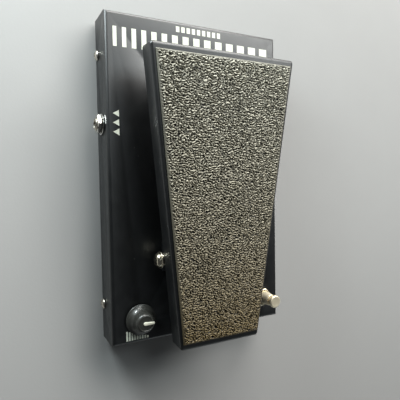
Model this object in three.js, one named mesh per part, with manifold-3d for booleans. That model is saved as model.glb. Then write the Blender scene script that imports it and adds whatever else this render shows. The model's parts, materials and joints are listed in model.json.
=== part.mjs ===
// A volume pedal: a low folded steel chassis with a rocking treadle, a level knob, a foot switch,
// signal jacks and an optical sensor inside. Millimetres, +Z up, +Y towards the toe end, the treadle
// rocks about an axle that lies along X. The origin is on the surface that the feet stand on, under
// the middle of the chassis.
import * as THREE from 'three';
import { mergeVertices } from 'three/addons/utils/BufferGeometryUtils.js';
import Module from 'manifold-3d';

const wasm = await Module();
wasm.setup();

// ---------------------------------------------------------------- driving dimensions
const GAP = 0.3;                 // running and mating gap between neighbouring pieces
const STEEL = 1.6;               // sheet thickness of cover, treadle and brackets

const WIDTH = 152;               // chassis, along X
const LENGTH = 248;              // chassis, along Y
const BASE = 3;                  // underside of the chassis above the floor
const PANEL = 30;                // top of the panel above the floor
const BEND = 3;                  // outer bend radius of the cover
const PLATE = 1.5;               // bottom plate thickness

const PIVOT_Y = -59.5;           // treadle axle
const PIVOT_Z = 43.5;
const TILT = THREE.MathUtils.degToRad(4.34);    // toe-up tilt of the treadle at rest

const TREADLE = {
  toe: 151.8,                    // axle to toe edge, along the treadle
  heel: -64.3,                   // axle to heel edge
  toeHalf: 59,                   // half widths of the metal tray
  heelHalf: 33.75,
  top: 21.2,                     // upper face above the axle
  rim: 5.9,                      // lower edge of the folded rim above the axle
};
const PAD = { toeHalf: 55.2, heelHalf: 32.3, toeMargin: 5, heelMargin: 5, thick: 2 };

const AXLE_R = 3;
const EAR_X = 36.8;              // inner face of the treadle bracket's ears
const POST_X = 35.4;             // outer face of the pivot bracket's ears

const KNOB = { x: -54.2, y: -105.8, base: 31.2, height: 12, skirtR: 11.8, topR: 7.1 };
const SWITCH = { x: 59.6, y: -104.8, capR: 5.3, capTop: 49.6, stemR: 3.4, bushR: 5.6 };
const JACK = { y: 42.7, z: 16.5, boreR: 3.25, bushR: 4.75, reach: 81.6 };
const POWER = { x: -40, z: 16.5, boreR: 2.9, barrelR: 4, reach: 125.2 };
const SCREW = { y: 96, z: 8.5, headR: 4, shankR: 1.8 };
const FOOT = { x: 62, y: 108 };
const BOARD = { halfX: 40, y0: -43, y1: 13, z0: 8, z1: 9.6, postX: 36, postY: [-39, 9] };
const BEAM = { y: -20, z: 20 };  // axis of the sensor's light beam
const BATTERY = { y: 95, z0: 3.2, long: 48.5, wide: 26.5, thick: 17.5 };
const VANE_SLOT = { half: 3, y0: -33, y1: 3 };    // slot in the panel that the shutter vane dips through
const TOE_STOP = { x: 30, y: 74, top: 49.2 };
const HEEL_STOP = { x: 0, y: -104, top: 52.3 };

// ---------------------------------------------------------------- materials
const finish = (color, roughness, metalness) =>
  new THREE.MeshStandardMaterial({ color, roughness, metalness });

const MATERIAL = {
  blackPaint: finish(0x141414, 0.45, 0.3),
  zincSteel: finish(0x9a9a96, 0.4, 0.9),
  chrome: finish(0xd8d6cf, 0.15, 1),
  nickel: finish(0xb9b4a6, 0.25, 1),
  treadRubber: finish(0x7b766c, 0.9, 0),
  blackRubber: finish(0x111111, 0.9, 0),
  blackPlastic: finish(0x0c0c0c, 0.25, 0),
  nylon: finish(0xd9d6c8, 0.6, 0),
  board: finish(0x1d4a2a, 0.6, 0),
  batteryCase: finish(0x2b2f38, 0.4, 0.2),
  lampLens: finish(0xa02018, 0.2, 0),
  wireBlack: finish(0x151515, 0.7, 0),
};

// ---------------------------------------------------------------- solid helpers
// A closed geometry as a manifold solid: only positions are kept, and flat triangles are dropped.
function toSolid(geometry) {
  const bare = geometry.clone();
  bare.deleteAttribute('normal');
  bare.deleteAttribute('uv');
  const merged = mergeVertices(bare, 1e-4);
  const index = merged.index.array;
  const triangles = [];
  for (let i = 0; i < index.length; i += 3) {
    const [a, b, c] = [index[i], index[i + 1], index[i + 2]];
    if (a !== b && b !== c && c !== a) triangles.push(a, b, c);
  }
  return new wasm.Manifold(new wasm.Mesh({
    numProp: 3,
    vertProperties: Float32Array.from(merged.attributes.position.array),
    triVerts: Uint32Array.from(triangles),
  }));
}

function toGeometry(solid) {
  const mesh = solid.getMesh();
  const geometry = new THREE.BufferGeometry();
  geometry.setAttribute('position', new THREE.BufferAttribute(mesh.vertProperties, 3));
  geometry.setIndex(new THREE.BufferAttribute(mesh.triVerts, 1));
  geometry.computeVertexNormals();
  return geometry;
}

const join = (first, ...more) =>
  toGeometry(more.reduce((solid, other) => solid.add(toSolid(other)), toSolid(first)));
const cut = (base, ...tools) =>
  toGeometry(tools.reduce((solid, tool) => solid.subtract(toSolid(tool)), toSolid(base)));
const common = (first, second) => toGeometry(toSolid(first).intersect(toSolid(second)));

function block([x0, y0, z0], [x1, y1, z1]) {
  const geometry = new THREE.BoxGeometry(x1 - x0, y1 - y0, z1 - z0);
  return geometry.translate((x0 + x1) / 2, (y0 + y1) / 2, (z0 + z1) / 2);
}

// Turns +Z into the named direction.
const TURN = {
  '+z': (geometry) => geometry,
  '-z': (geometry) => geometry.rotateX(Math.PI),
  '+x': (geometry) => geometry.rotateY(Math.PI / 2),
  '-x': (geometry) => geometry.rotateY(-Math.PI / 2),
  '+y': (geometry) => geometry.rotateX(-Math.PI / 2),
};

// A turned piece. The profile is [radius, height] pairs that start and end on the axis.
function turned(profile, at, direction = '+z', segments = 16) {
  const points = profile.map(([radius, height]) => new THREE.Vector2(radius, height));
  const geometry = new THREE.LatheGeometry(points, segments).rotateX(Math.PI / 2);
  return TURN[direction](geometry).translate(...at);
}

// A plain rod that starts at a point and runs along a direction.
const rod = (radius, length, at, direction = '+z', segments = 16) =>
  turned([[0, 0], [radius, 0], [radius, length], [0, length]], at, direction, segments);

// A flat ring around its axis.
const ring = (outer, inner, length, at, direction = '+z', segments = 16) =>
  cut(rod(outer, length, at, direction, segments),
    turned([[0, -1], [inner, -1], [inner, length + 1], [0, length + 1]], at, direction, segments));

// A hexagon nut with a round hole.
function hexNut(corner, hole, thick, at, direction) {
  const body = rod(corner, thick, at, direction, 6);
  const bore = turned([[0, -1], [hole, -1], [hole, thick + 1], [0, thick + 1]], at, direction, 16);
  return cut(body, bore);
}

function outline(points) {
  return new THREE.Shape(points.map(([a, b]) => new THREE.Vector2(a, b)));
}

const extrude = (shape, depth) =>
  new THREE.ExtrudeGeometry(shape, { depth, bevelEnabled: false, curveSegments: 8 });

// A shape drawn in (x, y), from z0 up to z1.
const slabZ = (shape, z0, z1) => extrude(shape, z1 - z0).translate(0, 0, z0);

// A shape drawn in (x, z), from y0 to y1.
function slabY(shape, y0, y1) {
  return extrude(shape, y1 - y0).rotateX(Math.PI / 2).translate(0, y1, 0);
}

// A shape drawn in (y, z), from x0 to x1.
function slabX(shape, x0, x1) {
  const basis = new THREE.Matrix4().makeBasis(
    new THREE.Vector3(0, 1, 0), new THREE.Vector3(0, 0, 1), new THREE.Vector3(1, 0, 0));
  return extrude(shape, x1 - x0).applyMatrix4(basis).translate(x0, 0, 0);
}

// A round lead along a smooth curve through the given points.
function lead(points, radius, steps) {
  const curve = new THREE.CatmullRomCurve3(points.map((point) => new THREE.Vector3(...point)));
  const section = new THREE.Shape();
  section.absarc(0, 0, radius, 0, Math.PI * 2);
  return new THREE.ExtrudeGeometry(section, {
    steps, extrudePath: curve, bevelEnabled: false, curveSegments: 4,
  });
}

// ---------------------------------------------------------------- scene graph
const pedal = new THREE.Group();
const treadleGroup = new THREE.Group();
treadleGroup.position.set(0, PIVOT_Y, PIVOT_Z);
treadleGroup.rotation.x = TILT;
pedal.add(treadleGroup);

function add(name, geometry, material, group = pedal) {
  const mesh = new THREE.Mesh(geometry, material);
  mesh.name = name;
  group.add(mesh);
}

const SIDES = [['left', -1], ['right', 1]];
const ENDS = [['toe', 1], ['heel', -1]];

// ---------------------------------------------------------------- chassis shell
const innerX = WIDTH / 2 - STEEL;
const innerY = LENGTH / 2 - STEEL;
const panelUnder = PANEL - STEEL;

// A rectangle with its two upper corners rounded, half wide, from the base up to the panel.
function bentSection(half) {
  const shape = new THREE.Shape();
  shape.moveTo(-half, BASE);
  shape.lineTo(half, BASE);
  shape.lineTo(half, PANEL - BEND);
  shape.absarc(half - BEND, PANEL - BEND, BEND, 0, Math.PI / 2);
  shape.lineTo(-half + BEND, PANEL);
  shape.absarc(-half + BEND, PANEL - BEND, BEND, Math.PI / 2, Math.PI);
  return shape;
}

function topCover() {
  const outer = common(
    slabY(bentSection(WIDTH / 2), -LENGTH / 2, LENGTH / 2),
    slabX(bentSection(LENGTH / 2), -WIDTH / 2, WIDTH / 2));
  const inside = block([-innerX, -innerY, BASE - 1], [innerX, innerY, panelUnder]);
  const through = WIDTH + 2;
  const screwHoles = ENDS.map(([, end]) =>
    rod(SCREW.shankR + 0.4, through, [-through / 2, end * SCREW.y, SCREW.z], '+x', 12));
  const jackHoles = rod(JACK.bushR + 0.35, through, [-through / 2, JACK.y, JACK.z], '+x');
  const powerHole = rod(POWER.barrelR + 0.35, 8, [POWER.x, innerY - 3, POWER.z], '+y');
  const drop = panelUnder - 2;
  const potHole = rod(3.95, 6, [KNOB.x, KNOB.y, drop]);
  const switchHole = rod(SWITCH.bushR + 0.35, 6, [SWITCH.x, SWITCH.y, drop]);
  const vaneSlot = block([-VANE_SLOT.half, VANE_SLOT.y0, drop], [VANE_SLOT.half, VANE_SLOT.y1, PANEL + 1]);
  const rivetHoles = rivetSpots().map(([x, y]) => rod(2, 6, [x, y, drop], '+z', 12));
  const stopHoles = stopSpots().map(([x, y]) => rod(2.5, 6, [x, y, drop], '+z', 12));
  return cut(outer, inside, ...screwHoles, jackHoles, powerHole, potHole, switchHole, vaneSlot,
    ...rivetHoles, ...stopHoles);
}

function rivetSpots() {
  return [[-26, PIVOT_Y - 7], [26, PIVOT_Y - 7], [-26, PIVOT_Y + 7], [26, PIVOT_Y + 7]];
}

function stopSpots() {
  return [[-TOE_STOP.x, TOE_STOP.y], [TOE_STOP.x, TOE_STOP.y], [HEEL_STOP.x, HEEL_STOP.y]];
}

const DOOR = { x: 1.5, halfX: 28.5, halfY: 16, screwX: 33.5 };

function bottomPlate() {
  const plateX = innerX - GAP;
  const plateY = innerY - GAP;
  const sheet = block([-plateX, -plateY, BASE], [plateX, plateY, BASE + PLATE]);
  const tabs = [];
  for (const [, side] of SIDES) {
    for (const [, end] of ENDS) {
      const [x0, x1] = side < 0 ? [-plateX, -plateX + PLATE] : [plateX - PLATE, plateX];
      tabs.push(block([x0, end * SCREW.y - 10, BASE], [x1, end * SCREW.y + 10, 14]));
    }
  }
  const below = BASE - 1;
  const doorway = block([DOOR.x - DOOR.halfX, BATTERY.y - DOOR.halfY, below],
    [DOOR.x + DOOR.halfX, BATTERY.y + DOOR.halfY, BASE + PLATE + 1]);
  const doorScrew = rod(1.9, 5, [DOOR.screwX, BATTERY.y, below], '+z', 12);
  const screwHoles = ENDS.map(([, end]) =>
    rod(SCREW.shankR + 0.3, WIDTH, [-WIDTH / 2, end * SCREW.y, SCREW.z], '+x', 12));
  const footHoles = footSpots().map(([, x, y]) => rod(2.55, 5, [x, y, below], '+z', 12));
  const postHoles = postSpots().map(([, x, y]) => rod(1.9, 5, [x, y, below], '+z', 12));
  return cut(join(sheet, ...tabs), doorway, doorScrew, ...screwHoles, ...footHoles, ...postHoles);
}

function footSpots() {
  return SIDES.flatMap(([side, sx]) =>
    ENDS.map(([end, sy]) => [`rubber_foot_${side}_${end}`, sx * FOOT.x, sy * FOOT.y]));
}

function postSpots() {
  return SIDES.flatMap(([side, sx]) => [
    [`board_post_${side}_heel`, sx * BOARD.postX, BOARD.postY[0]],
    [`board_post_${side}_toe`, sx * BOARD.postX, BOARD.postY[1]],
  ]);
}

// A pan head screw whose head stands on a face; the shank runs back into it.
function panScrew(at, direction) {
  const { headR, shankR } = SCREW;
  return turned([[0, -7.5], [shankR, -7.5], [shankR, GAP], [headR, GAP], [headR, 1.1],
    [headR * 0.9, 1.9], [headR * 0.6, 2.4], [0, 2.6]], at, direction, 16);
}

// A push-in rubber foot: a flat disc, a neck through the plate and a barb above it.
function rubberFoot(x, y) {
  const plateTop = BASE + PLATE;
  return turned([[0, 0], [7.3, 0], [8, 0.8], [8, BASE - GAP], [2.2, BASE - GAP],
    [2.2, plateTop + GAP], [3.2, plateTop + GAP], [1.6, plateTop + 2.4], [0, plateTop + 2.4]],
  [x, y, 0]);
}

add('top_cover', topCover(), MATERIAL.blackPaint);
add('bottom_plate', bottomPlate(), MATERIAL.zincSteel);
for (const [side, sx] of SIDES) {
  for (const [end, sy] of ENDS) {
    const at = [sx * WIDTH / 2, sy * SCREW.y, SCREW.z];
    add(`cover_screw_${side}_${end}`, panScrew(at, sx < 0 ? '-x' : '+x'), MATERIAL.nickel);
  }
}
for (const [name, x, y] of footSpots()) {
  add(name, rubberFoot(x, y), MATERIAL.blackRubber);
}

// ---------------------------------------------------------------- battery bay
const DOOR_LOW = 1.3;

function batteryDoor() {
  const top = BASE - GAP;
  const sheet = block([DOOR.x - DOOR.halfX - 3, BATTERY.y - DOOR.halfY - 3, DOOR_LOW],
    [DOOR.screwX + 5, BATTERY.y + DOOR.halfY + 3, top]);
  const sink = turned([[0, DOOR_LOW - 1], [3.4, DOOR_LOW - 1], [3.4, DOOR_LOW], [1.9, top],
    [1.9, top + 1], [0, top + 1]], [DOOR.screwX, BATTERY.y, 0], '+z', 12);
  return cut(sheet, sink);
}

function doorScrew() {
  return turned([[0, DOOR_LOW], [2.9, DOOR_LOW], [1.5, DOOR_LOW + 1.35], [1.5, 7], [0, 7]],
    [DOOR.screwX, BATTERY.y, 0], '+z', 12);
}

function battery() {
  const { y, z0, long, wide, thick } = BATTERY;
  const can = block([-long / 2, y - wide / 2, z0], [long / 2, y + wide / 2, z0 + thick]);
  const middle = z0 + thick / 2;
  const studs = [-6.35, 6.35].map((step) => rod(3, 3, [long / 2 - 0.5, y + step, middle], '+x', 12));
  return join(can, ...studs);
}

function batterySnap() {
  const { y, z0, long, thick } = BATTERY;
  const x0 = long / 2 + 2.5 + GAP;
  return block([x0, y - 12, z0 + 3], [x0 + 3, y + 12, z0 + thick - 3]);
}

// A folded strap that goes over the battery and down to two feet on the bottom plate.
function batteryStrap() {
  const half = BATTERY.wide / 2 + GAP;
  const over = BATTERY.z0 + BATTERY.thick + GAP;
  const floor = BASE + PLATE + GAP;
  const t = 1.2;
  const reach = 24.5;
  const foot = (sign) => block(
    [-6, BATTERY.y + (sign < 0 ? -reach : half), floor],
    [6, BATTERY.y + (sign < 0 ? -half : reach), floor + t]);
  const leg = (sign) => block(
    [-6, BATTERY.y + (sign < 0 ? -half - t : half), floor],
    [6, BATTERY.y + (sign < 0 ? -half : half + t), over + t]);
  const bridge = block([-6, BATTERY.y - half - t, over], [6, BATTERY.y + half + t, over + t]);
  return join(bridge, leg(-1), leg(1), foot(-1), foot(1));
}

add('battery_door', batteryDoor(), MATERIAL.blackPaint);
add('battery_door_screw', doorScrew(), MATERIAL.nickel);
add('battery', battery(), MATERIAL.batteryCase);
add('battery_snap', batterySnap(), MATERIAL.blackPlastic);
add('battery_strap', batteryStrap(), MATERIAL.zincSteel);

// ---------------------------------------------------------------- circuit board and sensor
// The board with its chips, capacitors, trimmer and terminal strips soldered on.
function circuitBoard() {
  const { halfX, y0, y1, z0, z1, postX, postY } = BOARD;
  const sheet = block([-halfX, y0, z0], [halfX, y1, z1]);
  const top = z1 - 0.1;
  const chips = [[-30, -8], [-30, -20]].map(([x, y]) =>
    block([x, y - 3.2, top], [x + 9.8, y + 3.2, top + 4]));
  const trimmer = block([20, -34, top], [27, -27, top + 6]);
  const capacitors = [[24, -14], [24, -4], [32, -20]].map(([x, y]) => rod(3.2, 9, [x, y, top], '+z', 12));
  const strips = [-25, 25].map((x) => block([x - 7, y1 - 4, top], [x + 7, y1 - 1, top + 5]));
  const holes = postY.flatMap((y) => SIDES.map(([, sx]) =>
    rod(1.9, 4, [sx * postX, y, z0 - 1], '+z', 12)));
  return cut(join(sheet, ...chips, trimmer, ...capacitors, ...strips), ...holes);
}

// A one-piece nylon post: barb under the plate, column, neck through the board and a snap head.
function boardPost(x, y) {
  const plateTop = BASE + PLATE;
  return turned([[0, 1.2], [1.4, 1.2], [2.6, BASE - GAP], [1.5, BASE - GAP], [1.5, plateTop + GAP],
    [3.4, plateTop + GAP], [2.8, BOARD.z0 - GAP], [1.5, BOARD.z0 - GAP], [1.5, BOARD.z1 + GAP],
    [2.5, BOARD.z1 + GAP], [0.9, BOARD.z1 + 2.2], [0, BOARD.z1 + 2.2]], [x, y, 0], '+z', 12);
}

const HOUSING = { halfX: 11, y0: -34, y1: -6, top: 26, slotHalf: 2.2, slotFloor: 11.4 };
const LAMP_R = 2.5;
const CELL_R = 3;

// A block with a slot for the vane and two sockets across it for the lamp and the photocell.
function sensorHousing() {
  const { halfX, y0, y1, top, slotHalf, slotFloor } = HOUSING;
  const body = block([-halfX, y0, BOARD.z1 + GAP], [halfX, y1, top]);
  const slot = block([-slotHalf, y0 - 1, slotFloor], [slotHalf, y1 + 1, top + 1]);
  const lampSocket = rod(LAMP_R + GAP, halfX + 1, [0, BEAM.y, BEAM.z], '+x');
  const cellSocket = rod(CELL_R + GAP, halfX + 1, [0, BEAM.y, BEAM.z], '-x');
  return cut(body, slot, lampSocket, cellSocket);
}

function sensorLamp() {
  return turned([[0, 0], [1.6, 0.4], [LAMP_R, 2], [LAMP_R, 7], [3.1, 7], [3.1, 8], [0, 8]],
    [HOUSING.slotHalf + 0.6 + 1.4, BEAM.y, BEAM.z], '+x');
}

function photocell() {
  return rod(CELL_R, 7.5, [-HOUSING.slotHalf - 0.6, BEAM.y, BEAM.z], '-x');
}

add('circuit_board', circuitBoard(), MATERIAL.board);
for (const [name, x, y] of postSpots()) {
  add(name, boardPost(x, y), MATERIAL.nylon);
}
add('sensor_housing', sensorHousing(), MATERIAL.blackPlastic);
add('sensor_led', sensorLamp(), MATERIAL.lampLens);
add('photocell', photocell(), MATERIAL.board);

// ---------------------------------------------------------------- jacks
// A closed jack: plastic body inside the wall, threaded bush through it and a blind plug bore.
function signalJack(side) {
  const inner = innerX - GAP;
  const depth = 24;
  const half = 8;
  const span = (from, to) => (side < 0 ? [-to, -from] : [from, to]);
  const [b0, b1] = span(inner - depth, inner);
  const body = block([b0, JACK.y - half, JACK.z - half], [b1, JACK.y + half, JACK.z + half]);
  const direction = side < 0 ? '-x' : '+x';
  const bush = rod(JACK.bushR, JACK.reach - inner + 1, [side * (inner - 1), JACK.y, JACK.z], direction);
  const [t0, t1] = span(inner - depth - 4, inner - depth + 1);
  const lugs = [-4, 4].map((step) =>
    block([t0, JACK.y - 1.5, JACK.z + step - 0.5], [t1, JACK.y + 1.5, JACK.z + step + 0.5]));
  const floor = inner - depth + 1.5;
  const bore = rod(JACK.boreR, JACK.reach - floor + 1, [side * floor, JACK.y, JACK.z], direction);
  return cut(join(body, bush, ...lugs), bore);
}

const WASHER = 1;
const JACK_NUT = { corner: 7.6, thick: 3 };

for (const [side, sx] of SIDES) {
  const kind = sx < 0 ? 'output_jack' : 'input_jack';
  const direction = sx < 0 ? '-x' : '+x';
  const washerAt = [sx * (WIDTH / 2 + GAP), JACK.y, JACK.z];
  const nutAt = [sx * (WIDTH / 2 + 2 * GAP + WASHER), JACK.y, JACK.z];
  add(kind, signalJack(sx), MATERIAL.nickel);
  add(`${kind}_washer`, ring(8, JACK.bushR + GAP, WASHER, washerAt, direction, 24), MATERIAL.chrome);
  add(`${kind}_nut`, hexNut(JACK_NUT.corner, JACK.bushR + GAP, JACK_NUT.thick, nutAt, direction),
    MATERIAL.chrome);
}

// A power socket: a flange outside the toe wall, a barrel through it and a centre pin.
function powerJack() {
  const outerFace = LENGTH / 2 + GAP;
  const back = 108.5;
  const at = [POWER.x, 0, POWER.z];
  const body = turned([[0, back], [5.5, back], [5.5, back + 6], [POWER.barrelR, back + 6],
    [POWER.barrelR, outerFace], [6, outerFace], [6, POWER.reach], [0, POWER.reach]], at, '+y');
  const socket = rod(POWER.boreR, 20, [POWER.x, back + 4, POWER.z], '+y');
  const pin = rod(1.05, 10, [POWER.x, back + 3, POWER.z], '+y', 8);
  return join(cut(body, socket), pin);
}

add('power_jack', powerJack(), MATERIAL.blackPlastic);
add('power_jack_nut', hexNut(6.2, POWER.barrelR + GAP, 2.2, [POWER.x, innerY - GAP - 2.2, POWER.z], '+y'),
  MATERIAL.nickel);

// ---------------------------------------------------------------- level knob
const POT = { bodyR: 12, bushR: 3.6, bushTop: 34.4, low: 18, bore: 3.22 };
const TOP_NUT = { thick: 2.2 };

function potBody() {
  const top = panelUnder - GAP;
  const at = [KNOB.x, KNOB.y, 0];
  const body = turned([[0, POT.low], [POT.bodyR, POT.low], [POT.bodyR, top], [POT.bushR, top],
    [POT.bushR, POT.bushTop], [0, POT.bushTop]], at, '+z', 24);
  const bore = rod(POT.bore, 20, [KNOB.x, KNOB.y, POT.low + 2]);
  const lugs = [-5, 0, 5].map((step) => block([KNOB.x + 11, KNOB.y + step - 1, POT.low + 1],
    [KNOB.x + 17, KNOB.y + step + 1, POT.low + 2]));
  return cut(join(body, ...lugs), bore);
}

const potShaft = () => rod(AXLE_R, KNOB.base + KNOB.height - 2 - POT.low - 3,
  [KNOB.x, KNOB.y, POT.low + 2.5]);

// A conical knob with a flared skirt, a flat top and a hollow underside that clears the nut.
function levelKnob() {
  const { x, y, base, height, skirtR, topR } = KNOB;
  const body = turned([[0, 0], [skirtR, 0], [skirtR, 1.4], [10.8, 1.6], [9.1, 3.2], [8.1, 4.8],
    [7.6, 6.8], [topR + 0.2, height - 2.2], [topR, height - 1.4], [topR - 1.3, height], [0, height]],
  [x, y, base], '+z', 32);
  const hollow = rod(8, 4.2, [x, y, base - 1], '+z', 24);
  const socket = rod(AXLE_R + GAP, height - 1, [x, y, base - 1]);
  const pointer = block([x - 1.6, y - 1.2, base + height - 1], [x + topR, y + 1.2, base + height + 0.6]);
  return cut(join(body, pointer), hollow, socket);
}

add('level_pot_body', potBody(), MATERIAL.zincSteel);
add('level_pot_nut', hexNut(6.4, POT.bushR + GAP, TOP_NUT.thick, [KNOB.x, KNOB.y, PANEL + GAP], '+z'),
  MATERIAL.nickel);
add('level_pot_shaft', potShaft(), MATERIAL.zincSteel);
add('level_knob', levelKnob(), MATERIAL.blackPlastic);

// ---------------------------------------------------------------- foot switch
const SWITCH_BODY = { half: 8.5, low: 9, bore: 3.75, boreFloor: 20, bushTop: 43.5 };

function switchBody() {
  const { half, low, bore, boreFloor, bushTop } = SWITCH_BODY;
  const { x, y, bushR } = SWITCH;
  const top = panelUnder - 2.6;
  const body = block([x - half, y - half, low], [x + half, y + half, top]);
  const bush = turned([[0, top - 1], [bushR, top - 1], [bushR, PANEL + 6], [bushR - 1, bushTop], [0, bushTop]],
    [x, y, 0]);
  const lugs = [-5, 0, 5].map((step) =>
    block([x + step - 1, y - 0.5, low - 3], [x + step + 1, y + 0.5, low + 1]));
  return cut(join(body, bush, ...lugs), rod(bore, 40, [x, y, boreFloor]));
}

// A plunger with a flared neck and a wide flat cap.
function switchPlunger() {
  const { x, y, capR, capTop, stemR } = SWITCH;
  const low = SWITCH_BODY.boreFloor + 3.5;
  return turned([[0, low], [stemR, low], [stemR, capTop - 3.4], [capR - 0.7, capTop - 2.5],
    [capR, capTop - 1.7], [capR, capTop - 0.9], [capR - 0.9, capTop], [0, capTop]], [x, y, 0], '+z', 24);
}

const switchNut = (thick, z) =>
  hexNut(8, SWITCH.bushR + GAP, thick, [SWITCH.x, SWITCH.y, z], '+z');

add('footswitch_body', switchBody(), MATERIAL.nickel);
add('footswitch_lower_nut', switchNut(1.8, panelUnder - GAP - 1.8), MATERIAL.nickel);
add('footswitch_upper_nut', switchNut(2.4, PANEL + GAP), MATERIAL.chrome);
add('footswitch_plunger', switchPlunger(), MATERIAL.chrome);

// ---------------------------------------------------------------- treadle pivot
const EAR_R = 7.5;

// A channel riveted to the panel, its two ears standing up beside the treadle bracket.
function pivotBracket() {
  const low = PANEL + GAP;
  const halfY = 11.5;
  const web = block([-POST_X, PIVOT_Y - halfY, low], [POST_X, PIVOT_Y + halfY, low + STEEL]);
  const ear = new THREE.Shape();
  ear.moveTo(PIVOT_Y - halfY, low);
  ear.lineTo(PIVOT_Y + halfY, low);
  ear.lineTo(PIVOT_Y + EAR_R, PIVOT_Z);
  ear.absarc(PIVOT_Y, PIVOT_Z, EAR_R, 0, Math.PI);
  const ears = [slabX(ear, -POST_X, -POST_X + STEEL), slabX(ear, POST_X - STEEL, POST_X)];
  const holes = rivetSpots().map(([x, y]) => rod(2, 4, [x, y, low - 1], '+z', 12));
  const axleHole = rod(AXLE_R + GAP, 2 * POST_X + 2, [-POST_X - 1, PIVOT_Y, PIVOT_Z], '+x');
  const vaneClear = block([-4, PIVOT_Y - 4, low - 1], [4, PIVOT_Y + 4, low + STEEL + 1]);
  return cut(join(web, ...ears), ...holes, axleHole, vaneClear);
}

// A rivet through the channel and the panel, with a head on each side.
function rivet(x, y) {
  const low = panelUnder - GAP;
  const high = PANEL + 2 * GAP + STEEL;
  return turned([[0, low - 1.2], [2.6, low - 1.2], [3, low], [1.7, low], [1.7, high], [3.2, high],
    [2.4, high + 1.2], [0, high + 1.6]], [x, y, 0], '+z', 12);
}

const AXLE_END = 43.5;
const CAP_X = 41.9;              // inner face of the axle cap's flange, just outside the treadle's rim

// A push-on cap: a collar against the ear, a flange outside the rim and a domed end, hollow where
// it grips the axle.
function axleCap(side) {
  const grip = AXLE_R + GAP;
  const start = EAR_X + STEEL + 0.6;
  return turned([[0, AXLE_END + GAP], [grip, AXLE_END + GAP], [grip, start], [4.6, start],
    [4.6, CAP_X], [6.5, CAP_X], [6.5, CAP_X + 0.9], [5.2, CAP_X + 1.2], [4.8, CAP_X + 2.4],
    [3.4, CAP_X + 3.7], [0, CAP_X + 4.3]], [0, PIVOT_Y, PIVOT_Z], side < 0 ? '-x' : '+x');
}

add('pivot_bracket', pivotBracket(), MATERIAL.blackPaint);
rivetSpots().forEach(([x, y], i) => add(`pivot_rivet_${i + 1}`, rivet(x, y), MATERIAL.zincSteel));
add('pivot_axle', rod(AXLE_R, 2 * AXLE_END, [-AXLE_END, PIVOT_Y, PIVOT_Z], '+x'), MATERIAL.zincSteel);
for (const [side, sx] of SIDES) {
  add(`axle_cap_${side}`, axleCap(sx), MATERIAL.chrome);
}

// ---------------------------------------------------------------- stops
// A rubber buffer pushed through the panel, with a barb underneath.
function buffer(x, y, top) {
  const low = panelUnder - GAP;
  const high = PANEL + GAP;
  return turned([[0, low - 2.4], [1.6, low - 2.4], [3, low], [2.1, low], [2.1, high], [7.5, high],
    [6.2, top - 1.4], [4.8, top], [0, top]], [x, y, 0]);
}

const stopNames = ['toe_bumper_left', 'toe_bumper_right', 'heel_bumper'];
const stopTops = [TOE_STOP.top, TOE_STOP.top, HEEL_STOP.top];
stopSpots().forEach(([x, y], i) => add(stopNames[i], buffer(x, y, stopTops[i]), MATERIAL.blackRubber));

// ---------------------------------------------------------------- treadle (axle at the group's origin)
const taper = (TREADLE.toeHalf - TREADLE.heelHalf) / (TREADLE.toe - TREADLE.heel);

// The treadle's outline, drawn in (x, y) and set in by a margin at each edge.
function trayOutline(side, toe, heel) {
  const halfAt = (y) => TREADLE.heelHalf + (y - TREADLE.heel) * taper - side;
  const [y0, y1] = [TREADLE.heel + heel, TREADLE.toe - toe];
  return outline([[-halfAt(y0), y0], [halfAt(y0), y0], [halfAt(y1), y1], [-halfAt(y1), y1]]);
}

// A folded tray with a rim on all four sides.
function treadle() {
  const outer = slabZ(trayOutline(0, 0, 0), TREADLE.rim, TREADLE.top);
  const inside = slabZ(trayOutline(STEEL, STEEL, STEEL), TREADLE.rim - 1, TREADLE.top - STEEL);
  return cut(outer, inside);
}

function treadPad() {
  const { toeHalf, heelHalf, toeMargin, heelMargin, thick } = PAD;
  const y0 = TREADLE.heel + heelMargin;
  const y1 = TREADLE.toe - toeMargin;
  const shape = outline([[-heelHalf, y0], [heelHalf, y0], [toeHalf, y1], [-toeHalf, y1]]);
  return slabZ(shape, TREADLE.top + GAP, TREADLE.top + GAP + thick);
}

// A channel under the treadle whose ears hang down outside the pivot bracket.
function treadleBracket() {
  const high = TREADLE.top - STEEL - GAP;
  const outerX = EAR_X + STEEL;
  const [y0, y1] = [-8, 16];
  const web = block([-outerX, y0, high - STEEL], [outerX, y1, high]);
  const ear = new THREE.Shape();
  ear.moveTo(y1, high);
  ear.lineTo(y0, high);
  ear.lineTo(-EAR_R, 0);
  ear.absarc(0, 0, EAR_R, Math.PI, Math.PI * 2);
  const ears = [slabX(ear, -outerX, -EAR_X), slabX(ear, EAR_X, outerX)];
  const hole = rod(4.5, 2 * outerX + 2, [-outerX - 1, 0, 0], '+x');
  return cut(join(web, ...ears), hole);
}

// A nylon bush in the ear, its flange between the two ears.
function pivotBushing(side) {
  const flange = POST_X + GAP;
  const sleeveEnd = EAR_X + STEEL + 0.2;
  return turned([[AXLE_R + GAP, flange], [6.2, flange], [6.2, EAR_X - GAP], [4.2, EAR_X - GAP],
    [4.2, sleeveEnd], [AXLE_R + GAP, sleeveEnd], [AXLE_R + GAP, flange]], [0, 0, 0],
  side < 0 ? '-x' : '+x');
}

// A thin blade with a tab along its top edge and a slanted lower edge that opens and shuts the beam.
function shutterVane() {
  const high = TREADLE.top - STEEL - GAP;
  const blade = slabX(outline([[30, -28], [50, -22], [50, high], [30, high]]), -0.6, 0.6);
  const tab = block([-0.6, 26, high - 1.2], [12, 54, high]);
  return join(blade, tab);
}

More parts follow.
